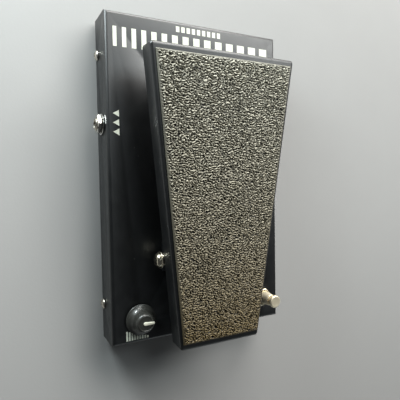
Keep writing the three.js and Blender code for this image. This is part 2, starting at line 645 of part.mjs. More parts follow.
add('treadle', treadle(), MATERIAL.blackPaint, treadleGroup);
add('tread_pad', treadPad(), MATERIAL.treadRubber, treadleGroup);
add('treadle_bracket', treadleBracket(), MATERIAL.blackPaint, treadleGroup);
for (const [side, sx] of SIDES) {
  add(`pivot_bushing_${side}`, pivotBushing(sx), MATERIAL.nylon, treadleGroup);
}
add('shutter_vane', shutterVane(), MATERIAL.blackPaint, treadleGroup);

// ---------------------------------------------------------------- internal leads
const boardEdge = BOARD.y1 + GAP + 0.5;
const leadZ = (BOARD.z0 + BOARD.z1) / 2;
const jackEnd = innerX - GAP - 24 - 4.5;

for (const [name, sx] of [['output_lead', -1], ['input_lead', 1]]) {
  const points = [[sx * 25, boardEdge, leadZ], [sx * 27, boardEdge + 8, leadZ],
    [sx * (jackEnd - 12), JACK.y - 6, 10], [sx * (jackEnd - 6), JACK.y, 12], [sx * jackEnd, JACK.y, JACK.z]];
  add(name, lead(points, 1.2, 16), MATERIAL.wireBlack);
}
const snapX = BATTERY.long / 2 + 2.5 + 2 * GAP + 3;
const batteryRun = [[snapX + 0.6, BATTERY.y - 8, 12], [snapX + 6, BATTERY.y - 11, 11],
  [snapX + 5, 62, 7], [12, 34, 7], [6, boardEdge + 8, leadZ], [6, boardEdge, leadZ]];
add('battery_lead', lead(batteryRun, 1.2, 20), MATERIAL.wireBlack);

export default pedal;
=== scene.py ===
"""A black steel volume pedal: cover, rocking treadle with a textured rubber sheet, level knob,
foot switch, jacks and hardware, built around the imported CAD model. Lengths below are in
millimetres unless a name says otherwise, and are turned into metres where meshes are made."""

import json
import math
import random

import bmesh
import bpy
import numpy as np
from mathutils import Matrix, Vector


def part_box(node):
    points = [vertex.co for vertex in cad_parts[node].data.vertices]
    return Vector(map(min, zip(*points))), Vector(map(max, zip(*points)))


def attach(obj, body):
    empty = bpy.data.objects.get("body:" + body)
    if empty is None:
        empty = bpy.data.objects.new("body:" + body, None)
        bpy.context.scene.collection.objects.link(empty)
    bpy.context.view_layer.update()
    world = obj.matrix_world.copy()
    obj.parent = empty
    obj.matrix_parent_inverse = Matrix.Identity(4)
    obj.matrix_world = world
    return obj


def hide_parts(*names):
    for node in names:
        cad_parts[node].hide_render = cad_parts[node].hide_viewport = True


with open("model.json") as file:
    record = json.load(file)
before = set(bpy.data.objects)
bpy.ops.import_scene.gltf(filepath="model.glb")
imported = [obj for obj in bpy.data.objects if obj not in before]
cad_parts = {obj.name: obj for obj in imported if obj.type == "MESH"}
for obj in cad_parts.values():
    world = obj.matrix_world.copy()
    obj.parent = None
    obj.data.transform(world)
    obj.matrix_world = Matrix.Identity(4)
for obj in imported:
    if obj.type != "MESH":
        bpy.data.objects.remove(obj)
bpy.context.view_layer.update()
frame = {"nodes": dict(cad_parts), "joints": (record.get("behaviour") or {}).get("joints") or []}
MM = 0.001


def node_box(name):
    """A CAD node's lowest and highest corners in millimetres."""
    low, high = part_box(name)
    return low / MM, high / MM


# ------------------------------------------------------------------ places read from the frame
COVER_LOW, COVER_HIGH = node_box("top_cover")
PANEL = COVER_HIGH.z
HINGE = next(j for j in frame["joints"] if j["name"] == "treadle_hinge")
PIVOT = Vector(HINGE["pos_m"]) / MM
TREADLE_LOW, TREADLE_HIGH = node_box("treadle")
KNOB_LOW, KNOB_HIGH = node_box("level_knob")
BUTTON_LOW, BUTTON_HIGH = node_box("footswitch_plunger")
JACK_LOW, JACK_HIGH = node_box("output_jack_washer")
STEEL = 1.6
TILT = math.radians(4.34)


# ------------------------------------------------------------------ camera, floor and light
def make_camera():
    """Looks down on the panel from the heel's left side, the toe end up in the picture."""
    yaw, pitch, roll = math.radians(27.3), math.radians(2.4), math.radians(-1.0)
    forward = Vector((math.sin(yaw) * math.cos(pitch), -math.sin(pitch), -math.cos(yaw) * math.cos(pitch)))
    level = Vector((math.cos(yaw), 0, math.sin(yaw)))
    above = level.cross(forward)
    right = level * math.cos(roll) + above * math.sin(roll)
    up = above * math.cos(roll) - level * math.sin(roll)
    data = bpy.data.cameras.new("camera")
    data.sensor_width = 36
    data.lens = 37.13
    data.clip_start = 0.01
    camera = bpy.data.objects.new("camera", data)
    bpy.context.scene.collection.objects.link(camera)
    axes = Matrix((right, up, -forward)).transposed().to_4x4()
    camera.matrix_world = Matrix.Translation(Vector((-0.1551, -0.0025, 0.3286))) @ axes
    bpy.context.scene.camera = camera


def area_light(name, at, aim, size, watts, color, spread=180):
    data = bpy.data.lights.new(name, "AREA")
    data.shape = "RECTANGLE"
    data.size, data.size_y = size
    data.energy = watts
    data.color = color
    data.spread = math.radians(spread)
    light = bpy.data.objects.new(name, data)
    bpy.context.scene.collection.objects.link(light)
    light.location = at
    direction = Vector(aim) - Vector(at)
    light.rotation_euler = direction.to_track_quat("-Z", "Y").to_euler()


def make_studio():
    scene = bpy.context.scene
    scene.view_settings.view_transform = "Standard"
    world = bpy.data.worlds.new("studio")
    scene.world = world
    world.use_nodes = True
    background = world.node_tree.nodes["Background"]
    background.inputs["Color"].default_value = (0.93, 0.97, 1.0, 1)
    background.inputs["Strength"].default_value = 0.05
    warm, cool = (1.0, 0.985, 0.95), (0.88, 0.98, 1.0)
    area_light("overhead", (0.7, 1.0, 1.1), (0.1, 0.15, 0.0), (1.5, 0.5), 10.8, warm, 120)
    area_light("overhead_near", (0.7, 0.6, 1.1), (0.7, 0.6, 0.0), (1.5, 0.22), 4.2, cool)
    area_light("overhead_soft", (0.7, 0.38, 1.1), (0.7, 0.38, 0.0), (1.5, 0.2), 2.4, cool)
    area_light("toe_side", (0.35, 1.25, 0.42), (0, 0, 0.03), (1.0, 0.6), 10.4, warm, 120)
    area_light("kicker", (-0.5, 0.85, 0.28), (-0.05, -0.1, 0.04), (0.24, 0.24), 5.0, cool)
    area_light("left_side", (-0.32, 0.38, 0.12), (-0.075, 0.12, 0.02), (0.18, 0.07), 2.4, cool)
    area_light("heel_fill", (0.5, -1.2, 0.3), (0, -0.1, 0.02), (1.2, 0.3), 0.6, cool, 120)
    bpy.ops.mesh.primitive_plane_add(size=8, location=(0, 0, 0))
    floor = bpy.context.object
    floor.name = "floor"
    floor.data.materials.append(floor_finish())


# ------------------------------------------------------------------ materials
class Nodes:
    """A material's node tree with short calls for the nodes that these finishes use."""

    def __init__(self, name):
        self.material = bpy.data.materials.new(name)
        self.material.use_nodes = True
        self.tree = self.material.node_tree
        self.shader = self.tree.nodes["Principled BSDF"]
        self.place = self.tree.nodes.new("ShaderNodeTexCoord").outputs["Object"]

    def node(self, kind, **inputs):
        made = self.tree.nodes.new(kind)
        for key, value in inputs.items():
            self.feed(made.inputs[key.replace("_", " ")], value)
        return made

    def feed(self, socket, value):
        if isinstance(value, bpy.types.NodeSocket):
            self.tree.links.new(value, socket)
        else:
            socket.default_value = value

    def noise(self, scale, detail=3.0, rough=0.55, stretch=None):
        made = self.node("ShaderNodeTexNoise", Scale=scale, Detail=detail, Roughness=rough)
        self.feed(made.inputs["Vector"], self.stretched(stretch) if stretch else self.place)
        return made.outputs["Fac"]

    def stretched(self, factors):
        mapped = self.node("ShaderNodeMapping", Vector=self.place, Scale=factors)
        return mapped.outputs["Vector"]

    def cells(self, scale):
        made = self.node("ShaderNodeTexVoronoi", Vector=self.place, Scale=scale)
        return made.outputs["Distance"], made.outputs["Color"]

    def math(self, operation, first, second, third=0.0):
        made = self.tree.nodes.new("ShaderNodeMath")
        made.operation = operation
        for socket, value in zip(made.inputs, (first, second, third)):
            self.feed(socket, value)
        return made.outputs[0]

    def span(self, value, low, high, to_low, to_high):
        made = self.node("ShaderNodeMapRange", Value=value)
        made.inputs["From Min"].default_value = low
        made.inputs["From Max"].default_value = high
        made.inputs["To Min"].default_value = to_low
        made.inputs["To Max"].default_value = to_high
        return made.outputs["Result"]

    def mix(self, share, first, second):
        made = self.tree.nodes.new("ShaderNodeMix")
        made.data_type = "RGBA"
        self.feed(made.inputs[0], share)
        for socket, value in ((made.inputs[6], first), (made.inputs[7], second)):
            self.feed(socket, (*value, 1) if isinstance(value, tuple) else value)
        return made.outputs[2]

    def relief(self, height, depth_mm, base=None):
        made = self.node("ShaderNodeBump", Height=height, Distance=depth_mm * MM)
        if base is not None:
            self.feed(made.inputs["Normal"], base)
        return made.outputs["Normal"]

    def attribute(self, name):
        made = self.tree.nodes.new("ShaderNodeAttribute")
        made.attribute_name = name
        return made.outputs["Fac"]

    def finish(self, color=None, roughness=None, normal=None, **constants):
        if color is not None:
            self.feed(self.shader.inputs["Base Color"], color)
        if roughness is not None:
            self.feed(self.shader.inputs["Roughness"], roughness)
        if normal is not None:
            self.feed(self.shader.inputs["Normal"], normal)
        for key, value in constants.items():
            self.shader.inputs[key.replace("_", " ")].default_value = value
        return self.material


def specks(n, scale, radius, share):
    """1 inside small round specks, one in some of the cells of a random pattern."""
    distance, tint = n.cells(scale)
    inside = n.math("LESS_THAN", distance, radius)
    chosen = n.math("GREATER_THAN", n.node("ShaderNodeSeparateColor", Color=tint).outputs[0], 1 - share)
    return n.math("MULTIPLY", inside, chosen)


def black_coat():
    """Satin powder coat: fine orange peel, faint handling marks and a little pale dust."""
    n = Nodes("black_coat")
    cloud = n.noise(18, 4)
    base = n.mix(n.span(cloud, 0.35, 0.65, 0, 1), (0.0022, 0.0027, 0.0031), (0.0038, 0.0045, 0.0050))
    scratch = n.noise(110, 2, 0.5, (1.0, 22.0, 1.0))
    scratch = n.span(scratch, 0.74, 0.77, 0, 0.12)
    base = n.mix(scratch, base, (0.06, 0.062, 0.062))
    dust = n.math("ADD", specks(n, 210, 0.05, 0.10), specks(n, 90, 0.03, 0.12))
    base = n.mix(n.math("MULTIPLY", dust, 0.6), base, (0.36, 0.35, 0.33))
    rough = n.span(n.noise(140, 5, 0.6), 0.3, 0.7, 0.36, 0.44)
    rough = n.math("ADD", rough, n.math("MULTIPLY", dust, 0.3))
    peel = n.relief(n.noise(900, 2, 0.5), 0.035)
    grit = n.relief(n.noise(3200, 2, 0.6), 0.008, peel)
    return n.finish(base, rough, grit, Specular_IOR_Level=0.85)


def rubber_tread_painted_light():
    """Worn pebbled rubber: pale ridges with a painted highlight, near-black valleys with painted shade, and
    painted shade that darkens and browns it towards the heel.
    """
    n = Nodes("rubber_tread_painted_light")
    height = n.attribute("relief")
    along = n.node("ShaderNodeSeparateXYZ", Vector=n.place).outputs["Y"]
    # painted shade: the colour darkens and browns from the toe end towards the heel, as if lit from the toe
    # side
    painted_toe_light = n.span(along, -0.12, 0.085, 0, 1)
    # ridge colour: a painted highlight, paler at the toe
    painted_ridge_highlight = n.mix(painted_toe_light, (0.204, 0.150, 0.070), (0.660, 0.640, 0.530))
    # valley colour: painted shade, near black
    valley = n.mix(painted_toe_light, (0.004, 0.003, 0.0015), (0.011, 0.0102, 0.008))
    wear = n.span(n.noise(14, 4), 0.3, 0.7, -0.05, 0.05)
    share = n.math("ADD", n.span(height, 0.1, 0.9, 0, 1), wear)
    color = n.mix(n.math("MAXIMUM", n.math("MINIMUM", share, 1.0), 0.0), valley, painted_ridge_highlight)
    grain = n.noise(1900, 3, 0.6)
    color = n.mix(n.span(grain, 0.3, 0.7, 0, 0.28), color, (0.04, 0.036, 0.028))
    rough = n.span(n.noise(700, 3), 0.3, 0.7, 0.36, 0.5)
    return n.finish(color, rough, n.relief(grain, 0.06), Specular_IOR_Level=0.25)


def metal(name, light, dark, low, high, brushed=None, depth=0.01, solid=1.0):
    """A plated metal: slight tint and roughness variation, with an optional brushed grain."""
    n = Nodes(name)
    base = n.mix(n.span(n.noise(120, 4), 0.3, 0.7, 0, 1), dark, light)
    stain = n.span(n.noise(420, 3), 0.62, 0.75, 0, 0.35)
    base = n.mix(stain, base, tuple(0.45 * c for c in dark))
    grain = n.noise(300, 3, 0.6, brushed)
    rough = n.span(grain, 0.3, 0.7, low, high)
    return n.finish(base, rough, n.relief(grain, depth), Metallic=solid)


def plastic(name, light, dark, low, high, grain=1400, depth=0.02, clear=0.0):
    """Moulded plastic or rubber: two close tints, a fine skin and uneven gloss."""
    n = Nodes(name)
    base = n.mix(n.span(n.noise(90, 4), 0.3, 0.7, 0, 1), dark, light)
    rough = n.span(n.noise(220, 4), 0.3, 0.7, low, high)
    return n.finish(base, rough, n.relief(n.noise(grain, 2), depth), Coat_Weight=clear, Coat_Roughness=0.12)


def silk_ink():
    """Cream screen-printed ink, slightly worn so that a little black shows through."""
    n = Nodes("silk_ink")
    worn = n.span(n.noise(900, 4, 0.7), 0.60, 0.72, 0, 0.55)
    base = n.mix(worn, (0.76, 0.78, 0.66), (0.22, 0.22, 0.18))
    return n.finish(base, n.span(n.noise(500, 3), 0.3, 0.7, 0.42, 0.6), n.relief(n.noise(1600, 2), 0.01))


def floor_finish():
    n = Nodes("floor_finish")
    base = n.mix(n.noise(3, 4), (0.345, 0.342, 0.336), (0.375, 0.372, 0.366))
    return n.finish(base, n.span(n.noise(30, 3), 0.3, 0.7, 0.75, 0.9), n.relief(n.noise(500, 3), 0.05))


def circuit_finish():
    """Green lacquer with faint copper tracks and pads."""
    n = Nodes("circuit_finish")
    distance, _ = n.cells(260)
    pads = n.math("LESS_THAN", distance, 0.16)
    tracks = n.span(n.noise(160, 1, 0.3, (1.0, 6.0, 1.0)), 0.52, 0.56, 0, 0.6)
    base = n.mix(tracks, (0.010, 0.060, 0.022), (0.035, 0.120, 0.045))
    base = n.mix(pads, base, (0.45, 0.42, 0.36))
    return n.finish(base, n.span(n.noise(300, 3), 0.3, 0.7, 0.25, 0.45), n.relief(tracks, 0.02))


FINISH = {
    "black_coat": black_coat(),
    "tread": rubber_tread_painted_light(),
    "cap_metal": metal("cap_metal", (0.84, 0.78, 0.64), (0.66, 0.60, 0.47), 0.2, 0.3, depth=0.006),
    "chrome": metal("chrome", (0.86, 0.84, 0.79), (0.74, 0.72, 0.67), 0.10, 0.2, depth=0.004),
    "nickel": metal("nickel", (0.74, 0.70, 0.62), (0.60, 0.56, 0.48), 0.2, 0.34, depth=0.008),
    "button_metal": metal("button_metal", (0.95, 0.86, 0.66), (0.88, 0.78, 0.58), 0.38, 0.5,
                          depth=0.004, solid=0.7),
    "zinc": metal("zinc", (0.58, 0.58, 0.56), (0.42, 0.42, 0.41), 0.3, 0.5, (1.0, 14.0, 1.0), 0.012),
    "gloss_black": plastic("gloss_black", (0.036, 0.036, 0.032), (0.022, 0.022, 0.019), 0.34, 0.44,
                           clear=0.4),
    "matte_black": plastic("matte_black", (0.022, 0.022, 0.022), (0.013, 0.013, 0.013), 0.45, 0.6),
    "rubber": plastic("rubber", (0.02, 0.02, 0.02), (0.012, 0.012, 0.012), 0.7, 0.85, 800, 0.05),
    "nylon": plastic("nylon", (0.72, 0.70, 0.62), (0.62, 0.60, 0.52), 0.4, 0.55),
    "cream": plastic("cream", (0.84, 0.82, 0.68), (0.76, 0.74, 0.60), 0.35, 0.5),
    "circuit": circuit_finish(),
    "can": metal("can", (0.10, 0.11, 0.14), (0.06, 0.065, 0.08), 0.3, 0.45, (12.0, 1.0, 1.0)),
    "lens": plastic("lens", (0.5, 0.05, 0.03), (0.35, 0.03, 0.02), 0.08, 0.16, clear=0.8),
    "wire": plastic("wire", (0.02, 0.02, 0.022), (0.012, 0.012, 0.014), 0.5, 0.65),
    "ink": silk_ink(),
}


# ------------------------------------------------------------------ mesh helpers
def add_piece(name, mesh, finish, body, replaces=(), sharp=32):
    """Links a mesh already in row-frame metres, shades it and hangs it on its CAD body."""
    piece = bpy.data.objects.new(name, mesh)
    bpy.context.scene.collection.objects.link(piece)
    mesh.materials.clear()
    mesh.materials.append(FINISH[finish])
    for face in mesh.polygons:
        face.use_smooth = True
    mesh.set_sharp_from_angle(angle=math.radians(sharp))
    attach(piece, body)
    if replaces:
        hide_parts(*replaces)
    return piece


def mesh_of(points, faces, matrix=None):
    """A mesh from points in millimetres, turned outwards, in metres."""
    mesh = bpy.data.meshes.new("shape")
    place = matrix or Matrix.Identity(4)
    mesh.from_pydata([(place @ Vector(p)) * MM for p in points], [], faces)
    work = bmesh.new()
    work.from_mesh(mesh)
    bmesh.ops.remove_doubles(work, verts=work.verts, dist=1e-7)
    bmesh.ops.recalc_face_normals(work, faces=work.faces)
    work.to_mesh(mesh)
    work.free()
    return mesh


def loft(loops, matrix=None, close=False):
    """Joins loops of equal length with faces; the ends are capped, or joined to each other."""
    count = len(loops[0])
    points = [p for loop in loops for p in loop]
    faces = []
    for k in range(len(loops) - (0 if close else 1)):
        a, b = k * count, (k + 1) % len(loops) * count
        for i in range(count):
            j = (i + 1) % count
            faces.append((a + i, a + j, b + j, b + i))
    if not close:
        faces.append(tuple(range(count))[::-1])
        faces.append(tuple(range((len(loops) - 1) * count, len(loops) * count)))
    return mesh_of(points, faces, matrix)


def ring_loop(radius, height, sides=64, wobble=None):
    """A circle in the xy plane; wobble(angle) scales its radius."""
    loop = []
    for i in range(sides):
        angle = math.tau * i / sides
        r = radius * (wobble(angle) if wobble else 1)
        loop.append((r * math.cos(angle), r * math.sin(angle), height))
    return loop


def lathe(profile, matrix=None, sides=64, close=False):
    """A turned shape from (radius, height) pairs; a closed profile makes a ring."""
    return loft([ring_loop(max(r, 1e-4), h, sides) for r, h in profile], matrix, close)


def arc(cx, cy, radius, start, end, steps):
    """Points on an arc, angles in degrees."""
    angles = [math.radians(start + (end - start) * i / steps) for i in range(steps + 1)]
    return [(cx + radius * math.cos(a), cy + radius * math.sin(a)) for a in angles]


def facing(at, direction):
    """Turns +Z into a direction and moves the origin to a point."""
    turn = Vector((0, 0, 1)).rotation_difference(Vector(direction)).to_matrix().to_4x4()
    return Matrix.Translation(Vector(at)) @ turn


def carved(mesh, cutters):
    """The mesh with closed cutter meshes taken out of it."""
    base = bpy.data.objects.new("carving", mesh)
    bpy.context.scene.collection.objects.link(base)
    helpers = []
    for cutter in cutters:
        tool = bpy.data.objects.new("cutter", cutter)
        bpy.context.scene.collection.objects.link(tool)
        cut = base.modifiers.new("cut", "BOOLEAN")
        cut.operation = "DIFFERENCE"
        cut.solver = "EXACT"
        cut.object = tool
        helpers.append(tool)
    graph = bpy.context.evaluated_depsgraph_get()
    result = bpy.data.meshes.new_from_object(base.evaluated_get(graph))
    for helper in [base, *helpers]:
        bpy.data.objects.remove(helper)
    return result


def box_mesh(low, high, matrix=None):
    corners = [(x, y, z) for x in (low[0], high[0]) for y in (low[1], high[1]) for z in (low[2], high[2])]
    faces = [(0, 1, 3, 2), (4, 6, 7, 5), (0, 4, 5, 1), (2, 3, 7, 6), (0, 2, 6, 4), (1, 5, 7, 3)]
    return mesh_of(corners, faces, matrix)


def softened(mesh, width, segments=2, angle=30, chosen=None):
    """Rounds the edges that are sharper than an angle, all or the chosen ones, flat faces made whole."""
    work = bmesh.new()
    work.from_mesh(mesh)
    bmesh.ops.remove_doubles(work, verts=work.verts, dist=2e-6)
    bmesh.ops.dissolve_limit(work, angle_limit=0.01, verts=work.verts, edges=work.edges)
    limit = math.radians(angle)
    edges = [e for e in work.edges if len(e.link_faces) == 2 and e.calc_face_angle(0) > limit]
    if chosen:
        edges = [e for e in edges if chosen((e.verts[0].co + e.verts[1].co) / 2 / MM)]
    bmesh.ops.bevel(work, geom=edges, offset=width * MM, segments=segments, profile=0.5,
                    affect="EDGES", clamp_overlap=True)
    bmesh.ops.recalc_face_normals(work, faces=work.faces)
    work.to_mesh(mesh)
    work.free()
    return mesh


def refine(node, finish, body, width):
    """A CAD node's own shape with its edges rounded, as a piece of its own."""
    mesh = softened(frame["nodes"][node].data.copy(), width)
    return add_piece(f"{node}_shell", mesh, finish, body, [node])


# ------------------------------------------------------------------ cover
def make_cover():
    """The folded cover: rounded bends and a fine seam down each vertical corner."""
    near = 0.01

    def outer_bend(middle):
        past_wall = max(abs(middle.x) - COVER_HIGH.x, abs(middle.y) - COVER_HIGH.y)
        return middle.z > PANEL - near and abs(past_wall) < near

    mesh = softened(frame["nodes"]["top_cover"].data.copy(), 2.2, 5, chosen=outer_bend)
    mesh = softened(mesh, 0.4, 2)
    seams = []
    for sx in (-1, 1):
        for sy in (-1, 1):
            at = Vector((sx * COVER_HIGH.x, sy * COVER_HIGH.y, 0))
            turn = Matrix.Translation(at) @ Matrix.Rotation(math.radians(45) * sx * sy, 4, "Z")
            seams.append(box_mesh((-0.9, -0.16, COVER_LOW.z - 1), (0.9, 0.16, PANEL - 4), turn))
    add_piece("cover_shell", carved(mesh, seams), "black_coat", "chassis", ["top_cover"])


# ------------------------------------------------------------------ treadle
TREADLE = {"toe": 151.8, "heel": -64.3, "toe_half": 59.0, "heel_half": 33.75, "top": 21.2, "rim": 5.9}
ON_TREADLE = Matrix.Translation(PIVOT) @ Matrix.Rotation(TILT, 4, "X")


def half_width(y):
    t = TREADLE
    return t["heel_half"] + (y - t["heel"]) * (t["toe_half"] - t["heel_half"]) / (t["toe"] - t["heel"])


def rounded_outline(corners, inset, radius, steps=5):
    """A convex outline set in by a margin, its corners rounded."""
    radius = max(radius, 0.05)
    count = len(corners)
    moved = []
    for i in range(count):
        before, here, after = (Vector(corners[(i + k) % count]) for k in (-1, 0, 1))
        a, b = (here - before).normalized(), (after - here).normalized()
        na, nb = Vector((-a.y, a.x)), Vector((-b.y, b.x))
        centre = here + (na + nb) * ((inset + radius) / (1 + na.dot(nb)))
        start = math.atan2(-na.y, -na.x)
        turn = math.atan2(a.x * b.y - a.y * b.x, a.dot(b))
        for k in range(steps + 1):
            angle = start + turn * k / steps
            moved.append((centre.x + radius * math.cos(angle), centre.y + radius * math.sin(angle)))
    return moved


def make_treadle():
    """The folded tray: one closed sheet with rounded bends and open seams at its corners."""
    t = TREADLE
    corners = [(side * half_width(y), y)
               for y, side in ((t["heel"], -1), (t["heel"], 1), (t["toe"], 1), (t["toe"], -1))]
    bend, lip, corner_radius = 2.2, 0.35, 2.6
    top, under, rim = t["top"], t["top"] - STEEL, t["rim"]
    inner = bend - STEEL
    stations = [(STEEL + inner * (1 - math.sin(a)), under - inner * (1 - math.cos(a)))
                for a in (math.radians(k * 22.5) for k in range(5))]
    stations += [(STEEL, rim + lip)]
    stations += [(STEEL - lip + lip * math.cos(a), rim + lip - lip * math.sin(a))
                 for a in (math.radians(45), math.radians(90))]
    stations += [(lip, rim), (lip * 0.3, rim + lip * 0.3), (0, rim + lip)]
    stations += [(bend * (1 - math.cos(a)), top - bend * (1 - math.sin(a)))
                 for a in (math.radians(k * 15) for k in range(7))]
    loops = []
    for inset, z in stations:
        loops.append([(x, y, z) for x, y in rounded_outline(corners, inset, corner_radius - inset)])
    mesh = loft(loops)
    seams = []
    for x, y in corners:
        lean = math.atan2(y - 40, x)
        turn = Matrix.Translation((x, y, 0)) @ Matrix.Rotation(lean, 4, "Z")
        seams.append(box_mesh((-bend, -0.22, rim - 1), (1, 0.22, top - 3.2), turn))
    mesh = carved(mesh, seams)
    mesh.transform(Matrix.Diagonal((1 / MM, 1 / MM, 1 / MM, 1)))
    mesh.transform(ON_TREADLE)
    mesh.transform(Matrix.Diagonal((MM, MM, MM, 1)))
    add_piece("treadle_shell", mesh, "black_coat", "treadle", ["treadle"])


# ------------------------------------------------------------------ rubber tread sheet
PAD = {"toe_half": 55.2, "heel_half": 32.3, "margin": 5.0, "thick": 2.0, "gap": 0.3,
       "relief": 1.3, "border": 0.55, "round": 0.5}


def waves(x, y, draw, shortest, longest, count, lean=0.0):
    """Many plane waves summed to a spread of about one; a lean turns their crests across the sheet."""
    total = np.zeros_like(x)
    for i in range(count):
        length = shortest + (longest - shortest) * (i + 0.5) / count
        heading, phase = draw.uniform(0, math.tau), draw.uniform(0, math.tau)
        heading += lean * math.sin(2 * heading)
        k = math.tau / length
        total += np.cos(k * (x * math.cos(heading) + y * math.sin(heading)) + phase)
    return total / math.sqrt(count / 2)


def crumple(x, y):
    """A pebbled relief from 0 to 1: short waves of many lengths, their tops and valleys rounded."""
    draw = np.random.default_rng(11)
    warp_x, warp_y = (0.35 * waves(x, y, draw, 3, 6, 16) for _ in range(2))
    x, y = x + warp_x, y + warp_y
    fine = waves(x, y, draw, 1.3, 2.0, 80, 0.38)
    broad = waves(x, y, draw, 4, 9, 16)
    return 0.5 + 0.5 * np.tanh(1.5 * fine + 0.12 * broad - 0.1)


def make_tread_sheet():
    """A moulded sheet: displaced grid on top, a plain border, rounded upper edge, flat below."""
    y0, y1 = TREADLE["heel"] + PAD["margin"], TREADLE["toe"] - PAD["margin"]
    step = 0.44
    rows = int((y1 - y0) / step)
    columns = int((PAD["toe_half"] + PAD["heel_half"]) / step)
    v = np.linspace(0, 1, rows + 1)
    u = np.linspace(-1, 1, columns + 1)
    grid_u, grid_v = np.meshgrid(u, v)
    half = PAD["heel_half"] + (PAD["toe_half"] - PAD["heel_half"]) * grid_v
    x, y = grid_u * half, y0 + (y1 - y0) * grid_v
    edge = np.minimum.reduce([half - np.abs(x), y - y0, y1 - y])
    fade = np.clip((edge - 0.5) / 1.5, 0, 1)
    fade = fade * fade * (3 - 2 * fade)
    relief = crumple(x, y)
    base = TREADLE["top"] + PAD["gap"]
    valley = base + PAD["thick"] - PAD["relief"]
    drop = PAD["round"] * np.clip(1 - edge / 0.6, 0, 1) ** 2
    z = valley + PAD["relief"] * relief * fade + PAD["border"] * (1 - fade) - drop
    shade = relief * fade + 0.35 * (1 - fade)
    points = [tuple(p) for p in np.stack([x.ravel(), y.ravel(), z.ravel()], 1)]
    shades = list(shade.ravel())
    wide = columns + 1
    faces = [(r * wide + c, r * wide + c + 1, (r + 1) * wide + c + 1, (r + 1) * wide + c)
             for r in range(rows) for c in range(columns)]
    rim = [c for c in range(wide)] + [r * wide + columns for r in range(1, rows + 1)]
    rim += [rows * wide + c for c in range(columns - 1, -1, -1)] + [r * wide for r in range(rows - 1, 0, -1)]
    first = len(points)
    for index in rim:
        points.append((points[index][0], points[index][1], base))
        shades.append(0.2)
    count = len(rim)
    for i in range(count):
        j = (i + 1) % count
        faces.append((rim[j], rim[i], first + i, first + j))
    faces.append(tuple(range(first, first + count))[::-1])
    mesh = bpy.data.meshes.new("sheet")
    mesh.from_pydata([(ON_TREADLE @ Vector(p)) * MM for p in points], [], faces)
    # the relief attribute is the height that the tread material turns into painted highlight on ridges and
    # painted shade in valleys
    mark = mesh.attributes.new("relief", "FLOAT", "POINT")
    mark.data.foreach_set("value", np.array(shades, np.float32))
    add_piece("tread_sheet", mesh, "tread", "treadle", ["tread_pad"], sharp=60)


# ------------------------------------------------------------------ turned and threaded hardware
def thread(low, high, radius, pitch=0.8, depth=0.3):
    """Profile points of ring grooves between two heights."""
    points = []
    height = low
    while height + pitch <= high + 1e-6:
        points += [(radius, height + 0.1), (radius, height + 0.35 * pitch),
                   (radius - depth, height + 0.6 * pitch), (radius - depth, height + 0.7 * pitch)]
        height += pitch
    return points


def hex_nut(corner, hole, thick, matrix):
    """A hexagon nut with both faces chamfered to a circle and a chamfered hole."""
    flat = corner * math.cos(math.radians(30))
    sides = 72

    def loop(circle, z):
        points = []
        for i in range(sides):
            angle = math.tau * i / sides
            local = (angle + math.pi / 6) % (math.pi / 3) - math.pi / 6
            r = min(flat / math.cos(local), circle)
            points.append((r * math.cos(angle + math.pi / 6), r * math.sin(angle + math.pi / 6), z))
        return points

    loops = [ring_loop(hole, 0.3, sides), ring_loop(hole + 0.35, 0, sides), loop(flat - 0.2, 0),
             loop(flat + 0.35, 0.25), loop(corner, 0.55), loop(corner, thick - 0.55),
             loop(flat + 0.35, thick - 0.25), loop(flat - 0.2, thick), ring_loop(hole + 0.35, thick, sides),
             ring_loop(hole, thick - 0.3, sides)]
    return loft(loops, matrix, close=True)


def washer(outer, inner, thick, matrix):
    soft = 0.25
    return lathe([(inner, 0), (outer - soft, 0), (outer, soft), (outer, thick - soft), (outer - soft, thick),
                  (inner, thick)], matrix, 72, close=True)


JACK_AXIS = ((JACK_LOW.y + JACK_HIGH.y) / 2, (JACK_LOW.z + JACK_HIGH.z) / 2)


def make_jack(kind, side):
    """A threaded bush with a plug bore, its plastic body inside, a washer and a nut."""
    y, z = JACK_AXIS
    wall = COVER_HIGH.x
    reach = node_box(kind)[1].x if side > 0 else -node_box(kind)[0].x
    direction = (side, 0, 0)
    start = wall - STEEL - 0.3
    length = reach - start
    place = facing((side * start, y, z), direction)
    profile = [(3.25, length - 0.4), (3.6, length), (4.35, length), (4.75, length - 0.45)]
    profile += [(r, length - 0.6 - h) for r, h in thread(0, length - 2.0, 4.75)]
    profile += [(4.75, 0), (7.6, 0), (7.9, -0.4), (7.9, -23.4), (7.6, -23.9), (3.25, -23.9), (3.25, -23.5)]
    bush = lathe(profile + [(3.25, -20)], place, 72, close=True)
    add_piece(f"{kind}_bush", bush, "nickel", "chassis", [kind])
    plug_stop = lathe([(0, -22.6), (3.2, -22.6), (3.2, -23.6), (0, -23.6)], place, 32)
    add_piece(f"{kind}_end", plug_stop, "matte_black", "chassis", [kind])
    at = facing((side * (wall + 0.3), y, z), direction)
    add_piece(f"{kind}_ring", washer(8, 5.05, 1, at), "chrome", "chassis", [f"{kind}_washer"])
    at = facing((side * (wall + 1.6), y, z), direction)
    add_piece(f"{kind}_hex", hex_nut(7.6, 5.05, 3.0, at), "chrome", "chassis", [f"{kind}_nut"])


def phillips(depth, reach, width, matrix):
    """Two crossed wedges that cut a screwdriver recess."""
    cutters = []
    for turn in (0, 90):
        place = matrix @ Matrix.Rotation(math.radians(turn), 4, "Z")
        half = width / 2
        points = [(-reach, -half, 1), (reach, -half, 1), (reach, half, 1), (-reach, half, 1),
                  (-reach * 0.25, -half * 0.6, -depth), (reach * 0.25, -half * 0.6, -depth),
                  (reach * 0.25, half * 0.6, -depth), (-reach * 0.25, half * 0.6, -depth)]
        faces = [(3, 2, 1, 0), (4, 5, 6, 7), (0, 1, 5, 4), (1, 2, 6, 5), (2, 3, 7, 6), (3, 0, 4, 7)]
        cutters.append(mesh_of(points, faces, place))
    return cutters


